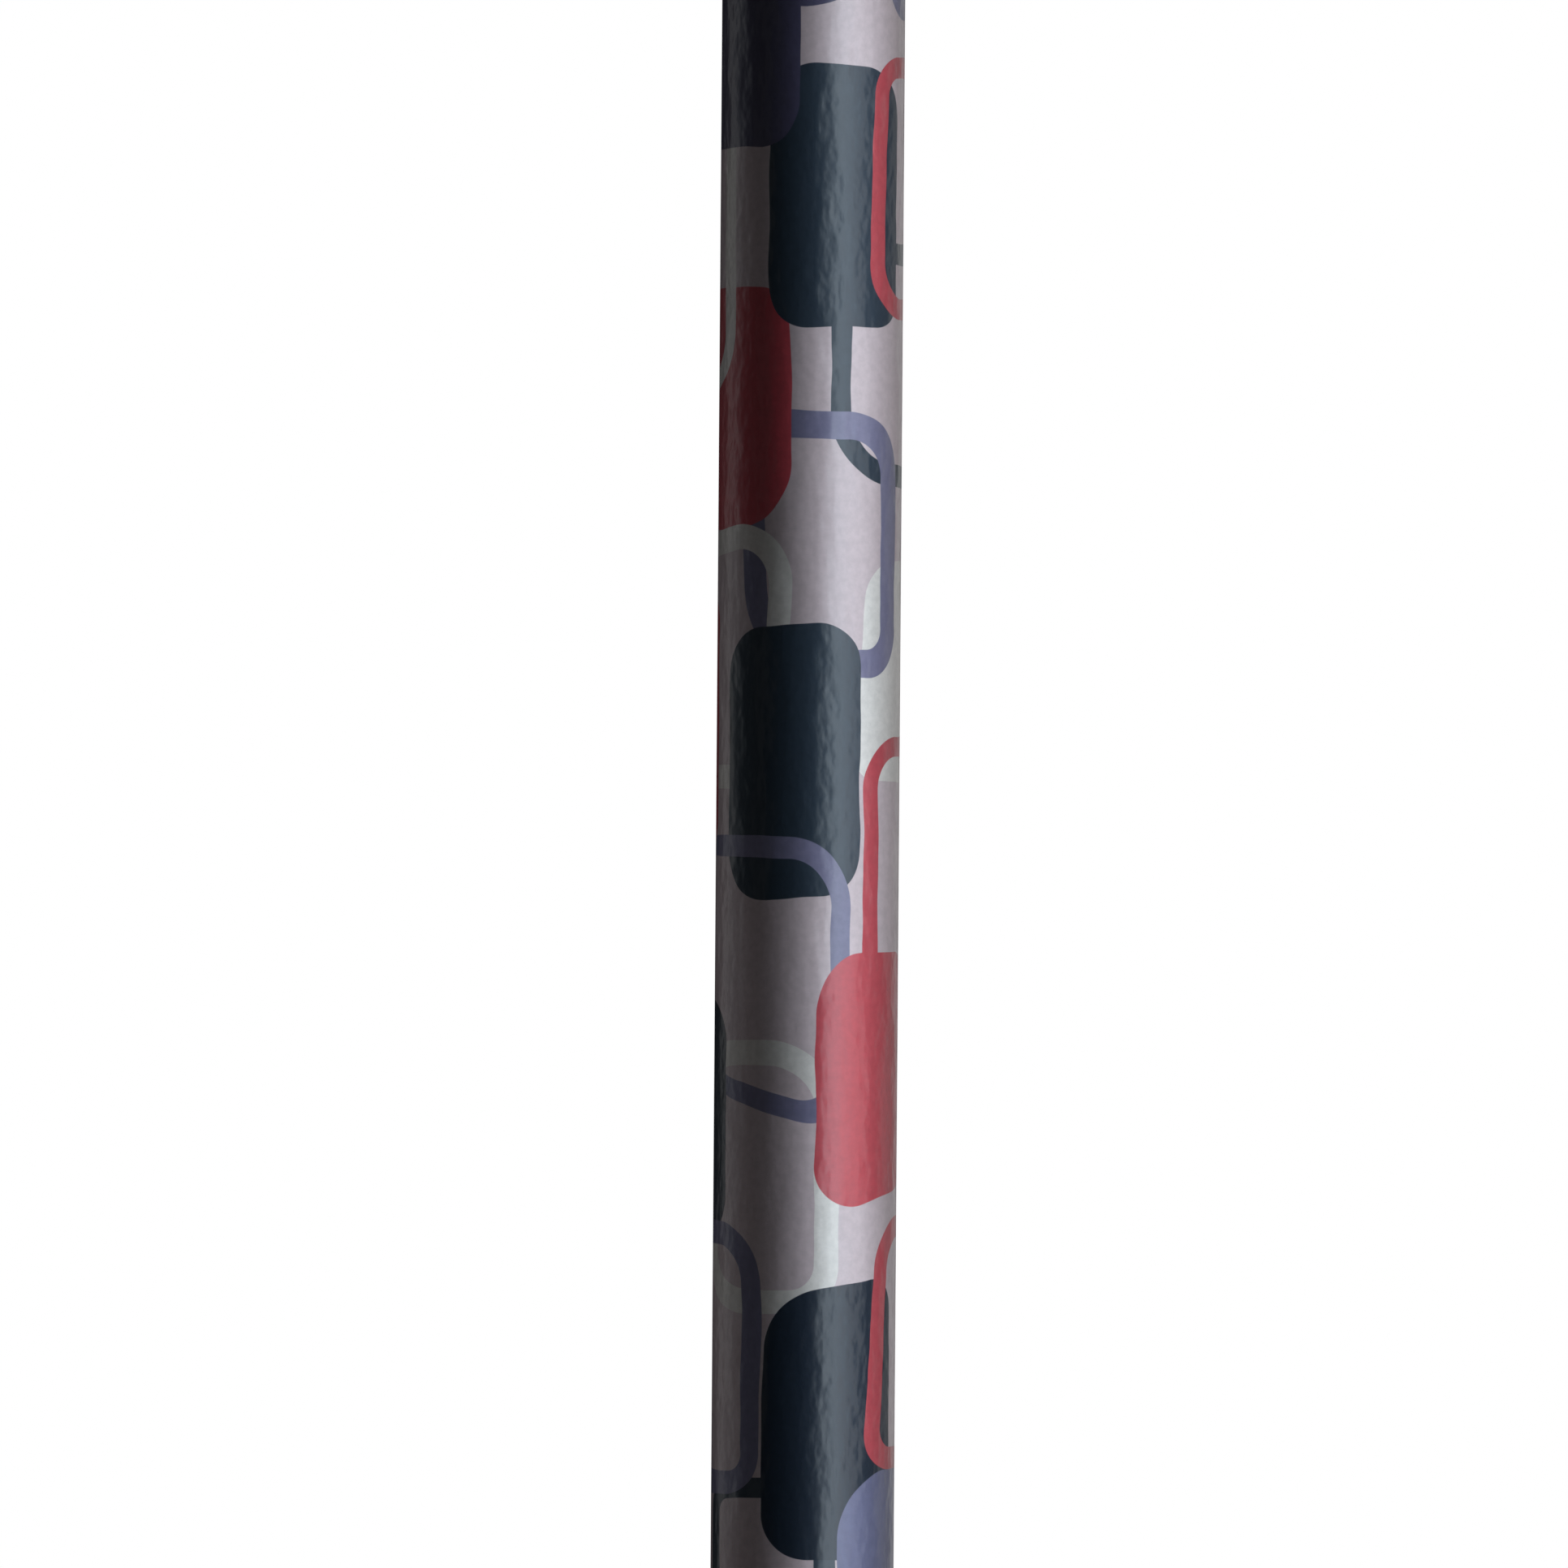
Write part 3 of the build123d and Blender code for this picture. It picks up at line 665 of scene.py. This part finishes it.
def eyepiece(plastic, rubber, glass):
    """A moulded cap with a domed rim and a coned peephole, its window and its soft ring."""
    _, plug_low, cap_top = levels("eyepiece_cap")
    tube_top = barrel_high.z / MM
    plug_r = levels("peephole_baffle")[0] + slip
    flange_r = barrel_r / MM - 0.1
    window_r, window_low, window_high = levels("eye_window")
    ring_r, ring_low, ring_top = levels("eye_cushion")
    wall_r, window_seat_r, ring_seat_r = 11.2, window_r + slip, ring_r + slip
    retainer_low = window_low - 1.6
    peephole_r, cone_r, cone_low = 5.0, 7.6, window_high + 0.8
    groove_low, groove_r = tube_top + 1.1, flange_r - 0.35
    dome_r, dome_width, dome_height = 12.5, 2.4, 2.6
    dome_low = cap_top - dome_height
    dome = []
    for turn in range(0, 91, 10):
        out, rise = dome_width * cos(radians(turn)), dome_height * sin(radians(turn))
        dome.append((dome_r + out, dome_low + rise))
    outline = rounded(
        (wall_r, plug_low, 0.2), (plug_r, plug_low, 0.5), (plug_r, tube_top), (flange_r, tube_top, 0.2),
        (flange_r, groove_low, 0.12), (groove_r, groove_low + 0.1, 0.06),
        (groove_r, groove_low + 0.4, 0.06), (flange_r, groove_low + 0.5, 0.12), *dome,
        (ring_seat_r, cap_top, 0.15), (ring_seat_r, ring_low, 0.1), (cone_r, ring_low, 0.3),
        (peephole_r, cone_low, 0.3), (peephole_r, window_high), (window_seat_r, window_high),
        (window_seat_r, retainer_low, 0.15), (wall_r, retainer_low, 0.15),
    )
    turned("eyepiece_shell", "eyepiece_cap", "barrel", plastic, "black_plastic", outline)
    turned("eyepiece_window", "eye_window", "barrel", glass, "clear_window",
           disc(window_r, window_low, window_high, 0.12))
    # the soft ring: a round crown with a shallow moulding line along its top
    bore_r, line_depth = 7.7, 0.09
    middle, half = (ring_r + bore_r) / 2, (ring_r - bore_r) / 2
    foot = ring_low + 0.8
    crown = []
    for turn in range(0, 181, 9):
        rise = (ring_top - foot) * sin(radians(turn)) ** 0.9
        line = line_depth if turn == 90 else 0.0
        crown.append((middle + half * cos(radians(turn)), foot + rise - line))
    outline = rounded((bore_r, ring_low, 0.1), (ring_r, ring_low, 0.1), *crown)
    turned("eye_ring", "eye_cushion", "barrel", rubber, "soft_rubber", outline)


def felt_edge(turn, r, z):
    """A felt ring's outer edge is slightly ragged, and its bore is even."""
    bore_end = 14
    if r <= bore_end:
        return r
    return r + 0.07 * sin(37 * turn + 3 * z) * sin(11 * turn) + 0.05 * sin(83 * turn + 9 * z)


def journal(metal, felt):
    """The metal journal with its flange, and the felt ring under it."""
    flange_r, low, high = levels("barrel_journal")
    flange_top = barrel_low.z / MM
    flange_low = flange_top - 1.6
    lip_r, lip_high, bore_r = 10.3, low + 0.8, 11.6
    spigot_r, plug_r, groove_r = 12.7, 13.25, 12.2
    groove_low = low + 1.0
    groove_high = groove_low + 1.1
    outline = rounded(
        (lip_r, low, 0.1), (spigot_r, low, 0.2), (spigot_r, groove_low), (groove_r, groove_low),
        (groove_r, groove_high), (spigot_r, groove_high), (spigot_r, flange_low),
        (flange_r, flange_low, 0.3), (flange_r, flange_top, 0.3), (plug_r, flange_top), (plug_r, high, 0.4),
        (bore_r, high, 0.2), (bore_r, lip_high), (lip_r, lip_high, 0.1),
    )
    turned("journal_body", "barrel_journal", "barrel", metal, "satin_aluminium", outline)
    felt_r, felt_low, felt_high = levels("felt_washer")
    felt_bore_r, felt_edge_r = 12.8, felt_r - 0.12
    outline = rounded(
        (felt_bore_r, felt_low, 0.1), (felt_edge_r, felt_low, 0.2), (felt_edge_r, felt_high, 0.2),
        (felt_bore_r, felt_high, 0.1),
    )
    turned("felt_ring", "felt_washer", "barrel", felt, "black_felt", outline, steps=720, ripple=felt_edge)


rib_count = 40


def grip_rib(turn, r, z):
    """Round-edged scallops in the rubber's outer side. Its bore is even."""
    bore_end = 17
    if r < bore_end:
        return r
    pitch = 2 * pi / rib_count
    across = ((turn / pitch + 0.5) % 1 - 0.5) * pitch * r
    scoop_r, scoop_out, soft = 0.7, 0.2, 0.1
    dip = (scoop_r**2 - across**2) ** 0.5 - scoop_out if abs(across) < scoop_r else -scoop_out
    return r - ((dip * dip + soft * soft) ** 0.5 + dip) / 2


def object_cell(metal, rubber, clear, window, frosted):
    """The turning end: collar and grip, the clear room for the loose pieces, and the bezel."""
    bezel_r, floor_low, bezel_top = levels("end_bezel")
    band_r = levels("cell_wall")[0]
    disc_r, diffuser_low, diffuser_high = levels("diffuser")
    _, window_low, window_high = levels("cell_window")
    collar_r, collar_low, collar_top = levels("turning_collar")
    _, grip_low, grip_high = levels("rubber_grip")
    opening_r, room_r, bore_r, grip_seat_r = 13.75, 14.2, 12.75, 16.6
    seat_r = disc_r + slip
    band_plug_r = seat_r - 0.05
    stop_r, stop_low = 14.5, 20.3
    shoulder_r, shoulder_low = 15.3, grip_high + 0.4
    outline = rounded(
        (opening_r, floor_low, 0.5), (bezel_r, floor_low, 0.8), (bezel_r, bezel_top, 0.3),
        (seat_r, bezel_top, 0.1), (seat_r, diffuser_low), (opening_r, diffuser_low, 0.2),
    )
    turned("bezel_ring", "end_bezel", "object_cell", metal, "collar_aluminium", outline)
    turned("diffuser_disc", "diffuser", "object_cell", frosted, "frosted_acrylic",
           disc(disc_r, diffuser_low, diffuser_high, 0.15))
    outline = rounded(
        (room_r, diffuser_high, 0.15), (band_plug_r, diffuser_high, 0.15), (band_plug_r, bezel_top),
        (band_r, bezel_top, 0.25), (band_r, collar_low, 0.25), (band_plug_r, collar_low),
        (band_plug_r, window_low, 0.15), (room_r, window_low, 0.15),
    )
    turned("clear_band", "cell_wall", "object_cell", clear, "clear_acrylic", outline)
    turned("cell_glass", "cell_window", "object_cell", window, "clear_window",
           disc(disc_r, window_low, window_high, 0.15))
    outline = rounded(
        (bore_r, stop_low, 0.1), (stop_r, stop_low), (stop_r, window_high), (seat_r, window_high),
        (seat_r, collar_low, 0.1), (collar_r, collar_low, 0.3), (collar_r, grip_low, 0.12),
        (grip_seat_r, grip_low), (grip_seat_r, grip_high), (collar_r, grip_high, 0.12),
        (collar_r, shoulder_low, 0.25), (shoulder_r, collar_top, 0.25), (bore_r, collar_top, 0.15),
    )
    turned("collar_ring", "turning_collar", "object_cell", metal, "collar_aluminium", outline)
    grip_r = collar_r + 0.2
    outline = rounded(
        (grip_seat_r, grip_low), (grip_r, grip_low, 0.35), (grip_r, grip_high, 0.35),
        (grip_seat_r, grip_high),
    )
    turned("grip_sleeve", "rubber_grip", "object_cell", rubber, "soft_rubber", outline,
           steps=800, ripple=grip_rib)


def dress(node, material, edge=0.0):
    """Gives a carried-over CAD node its material, and small rounded edges."""
    piece = frame["nodes"][node]
    for place in piece.material_slots:
        place.material = material
    if edge:
        piece.modifiers.new("join", "WELD").merge_threshold = 0.001 * MM
        bevel = piece.modifiers.new("edges", "BEVEL")
        bevel.width = edge * MM
        bevel.segments = 2
        bevel.limit_method = "ANGLE"
        bevel.angle_limit = radians(35)


# ================================================================ every piece and its material
film = printed_film()
finish_piece("printed_sheet", wrap_mesh(), "barrel", film, ["printed_wrap"], smooth_angle=30)
satin = turned_metal("satin_aluminium", (0.76, 0.76, 0.77), 0.30)
collar_metal = turned_metal("collar_aluminium", (0.74, 0.74, 0.76), 0.33)
plastic = moulded("black_plastic", (0.020, 0.020, 0.022), 0.42, 5.0, 0.03 * MM)
rubber = moulded(
    "soft_rubber", (0.030, 0.030, 0.032), 0.72, 3.2, 0.05 * MM, Sheen_Weight=0.25, Sheen_Roughness=0.4)
window_glass = see_through("clear_window", (0.95, 0.97, 0.97), (0.93, 0.96, 0.96), 0.008, 1.5)
acrylic = see_through("clear_acrylic", (0.96, 0.975, 0.975), (0.93, 0.95, 0.95), 0.02, 1.49)
frosted = see_through(
    "frosted_acrylic", (0.93, 0.94, 0.94), (0.88, 0.89, 0.90), 0.28, 1.49, transmission=0.75)
eyepiece(plastic, rubber, window_glass)
journal(satin, felt_material())
object_cell(collar_metal, rubber, acrylic, window_glass, frosted)
dress("cardboard_tube", card_material("grey_card", (0.42, 0.38, 0.33), 62.0))
dress("peephole_baffle", card_material("black_card", (0.02, 0.02, 0.02), 0.0))
dress("retaining_ring", turned_metal("spring_steel", (0.46, 0.46, 0.48), 0.28), 0.12)
dress("barrel_window", window_glass)
dress("window_retainer", plastic)
mirror = mirror_material()
for name in ("mirror_a", "mirror_b", "mirror_c"):
    dress(name, mirror, 0.08)
dress("mirror_tape_bands", tape_material(), 0.05)
foam = foam_material()
for name in ("lower_mirror_frame", "upper_mirror_frame"):
    dress(name, foam, 0.3)
for name, colour, cloud in (
    ("red", (0.80, 0.035, 0.06), (0.95, 0.12, 0.14)),
    ("blue", (0.04, 0.13, 0.75), (0.12, 0.32, 0.92)),
    ("green", (0.04, 0.55, 0.20), (0.16, 0.80, 0.36)),
):
    chips = see_through(f"{name}_glass", colour, cloud, 0.01, 1.52, bubbles=1.1)
    dress(f"glass_chips_{name}", chips, 0.14)
for name, colour, cloud in (
    ("amber", (0.90, 0.42, 0.05), (1.0, 0.66, 0.20)),
    ("violet", (0.40, 0.10, 0.65), (0.62, 0.30, 0.85)),
):
    dress(f"round_beads_{name}", see_through(f"{name}_bead", colour, cloud, 0.01, 1.5, bubbles=0.8))
turquoise = see_through(
    "turquoise_bead", (0.04, 0.52, 0.56), (0.15, 0.75, 0.76), 0.05, 1.5, transmission=0.45)
dress("bugle_beads_turquoise", turquoise, 0.1)
dress("star_sequins_silver", foil_material(), 0.1)


# ================================================================ studio
def area_light(name, towards, turn, height, distance, width, tall, power, colour=(1, 1, 1)):
    """A rectangular lamp at an angle round the barrel, facing a point. A turn of 0 is the camera's side,
    and positive turns are to the right."""
    lamp = bpy.data.lights.new(name, "AREA")
    lamp.shape = "RECTANGLE"
    lamp.size, lamp.size_y = width, tall
    lamp.energy = power
    lamp.color = colour
    piece = bpy.data.objects.new(name, lamp)
    place = Vector((distance * sin(radians(turn)), -distance * cos(radians(turn)), height))
    piece.location = place
    piece.rotation_euler = (Vector(towards) - place).to_track_quat("-Z", "Y").to_euler()
    bpy.context.scene.collection.objects.link(piece)
    return piece


def strip_lights():
    """Thin lamps close to the barrel, which the camera doesn't see. They draw its one soft highlight, the
    quick fall-off to its left and a faint rim, as a narrow light tent does."""
    tall = 282 * MM
    cool = (0.87, 1.0, 1.09)
    for name, turn, distance, width, power in (
        ("key_a", 18, 26 * MM, 4 * MM, 0.0024),
        ("key_b", 25, 26 * MM, 4 * MM, 0.0070),
        ("key_c", 32, 26 * MM, 4 * MM, 0.0047),
        ("key_d", 38, 26 * MM, 4 * MM, 0.0026),
        ("right_side", 62, 45 * MM, 6 * MM, 0.0024),
        ("left_edge", -90, 45 * MM, 16 * MM, 0.0012),
    ):
        lamp = area_light(
            name, (0, 0, barrel_middle), turn, barrel_middle, distance, width, tall, power, cool)
        lamp.visible_camera = False


def end_lights():
    """Soft lamps that reach the two ends, the loose pieces and the floor, and leave the barrel's fall-off
    alone."""
    lit = bpy.data.collections.new("ends")
    for piece in bpy.context.scene.objects:
        is_barrel = piece.name in ("printed_sheet", "printed_wrap", "cardboard_tube")
        if piece.type == "MESH" and not is_barrel:
            lit.objects.link(piece)
    cell_middle = (0, 0, 15 * MM)
    for name, towards, turn, height, distance, size, power in (
        ("ends_key", cell_middle, 48, 0.30, 0.6, 0.30, 2.2),
        ("ends_fill", cell_middle, -38, 0.25, 0.6, 0.40, 1.1),
        ("ends_left", cell_middle, -115, 0.30, 0.6, 0.35, 1.3),
        ("ends_back", cell_middle, 170, 0.30, 0.6, 0.35, 1.3),
        ("overhead", (0, 0, barrel_high.z), 0, 1.3, 0.1, 0.5, 6.5),
    ):
        lamp = area_light(name, towards, turn, height, distance, size, size, power)
        lamp.light_linking.receiver_collection = lit


def studio():
    """A white backdrop for the camera only, and soft lamps."""
    middle = (0, 0, barrel_middle)

    def tall_lamp(name, turn, width, power):
        """A tall soft lamp well away from the barrel, level with its middle."""
        return area_light(name, middle, turn, barrel_middle, 1.2, width, 1.2, power)

    strip_lights()
    tall_lamp("right_soft", 62, 0.35, 1.7)
    tall_lamp("right_fill", 82, 0.35, 2.4).visible_glossy = False
    tall_lamp("right_back", 120, 0.35, 0.7)
    tall_lamp("back", 152, 0.5, 0.9)
    tall_lamp("back_fill", 180, 0.4, 3.0).visible_glossy = False
    area_light("left_low", (0, 0, 0.09), -88, 0.09, 0.35, 0.1, 0.14, 0.075).visible_glossy = False
    tall_lamp("left_back", -120, 0.35, 0.4)
    tall_lamp("left_front", -60, 0.35, 0.1)
    area_light("high_back", middle, 180, 1.3, 0.9, 0.7, 0.7, 7.0)
    end_lights()
    world = bpy.data.worlds.new("studio")
    world.use_nodes = True
    tree = world.node_tree
    tree.nodes.clear()
    shader = Shader(tree)
    seen = shader.add("ShaderNodeBackground")
    lit = shader.add("ShaderNodeBackground")
    for background, strength in ((seen, 1.0), (lit, 0.004)):
        background.inputs["Color"].default_value = (1.0, 1.0, 1.0, 1.0)
        background.inputs["Strength"].default_value = strength
    mix = shader.add("ShaderNodeMixShader")
    shader.feed(mix.inputs[0], shader.add("ShaderNodeLightPath").outputs["Is Camera Ray"])
    tree.links.new(lit.outputs[0], mix.inputs[1])
    tree.links.new(seen.outputs[0], mix.inputs[2])
    tree.links.new(mix.outputs[0], shader.add("ShaderNodeOutputWorld").inputs[0])
    bpy.context.scene.world = world
    bpy.context.scene.view_settings.view_transform = "Standard"
    bpy.context.scene.view_settings.look = "None"


def floor():
    """A wide pale disc under the object that fades into the white backdrop. It throws no light on the
    barrel, so that the barrel's dark side stays dark."""
    radius = 3.0
    mesh = bpy.data.meshes.new("floor")
    made = bmesh.new()
    bmesh.ops.create_circle(made, cap_ends=True, segments=96, radius=radius)
    made.to_mesh(mesh)
    made.free()
    piece = bpy.data.objects.new("floor", mesh)
    bpy.context.scene.collection.objects.link(piece)
    piece.location.z = -0.0002  # just under the foot
    piece.visible_diffuse = False
    piece.visible_glossy = False
    material = bpy.data.materials.new("floor")
    material.use_nodes = True
    tree = material.node_tree
    tree.nodes.clear()
    shader = Shader(tree)
    near = shader.add("ShaderNodeBsdfDiffuse")
    near.inputs["Color"].default_value = (0.78, 0.78, 0.77, 1.0)
    far = shader.add("ShaderNodeEmission")
    mix = shader.add("ShaderNodeMixShader")
    fade_start, fade_end, least_glow = 0.05, 0.5, 0.6
    away = shader.vector("LENGTH", object_place(shader))
    shader.feed(mix.inputs[0], shader.between(away, fade_start, fade_end, least_glow, 1.0))
    tree.links.new(near.outputs[0], mix.inputs[1])
    tree.links.new(far.outputs[0], mix.inputs[2])
    tree.links.new(mix.outputs[0], shader.add("ShaderNodeOutputMaterial").inputs[0])
    mesh.materials.append(material)


def camera():
    """Level, square on to the shown side and far off, so that the barrel keeps one width."""
    seen_height = 257 * MM
    aside = -3.91 * MM  # the barrel stands a little to the right in the picture
    roll = 0.43  # and leans by this many degrees
    distance = 2.4
    data = bpy.data.cameras.new("camera")
    data.sensor_width = 36
    data.lens = data.sensor_width * distance / seen_height
    data.clip_end = 20
    piece = bpy.data.objects.new("camera", data)
    middle_row = print_datum - seen_height / 2
    piece.location = (aside, -distance, middle_row)
    level = Matrix.Rotation(pi / 2, 4, "X")
    piece.rotation_euler = (level @ Matrix.Rotation(radians(roll), 4, "Z")).to_euler()
    bpy.context.scene.collection.objects.link(piece)
    bpy.context.scene.camera = piece


floor()
studio()
camera()
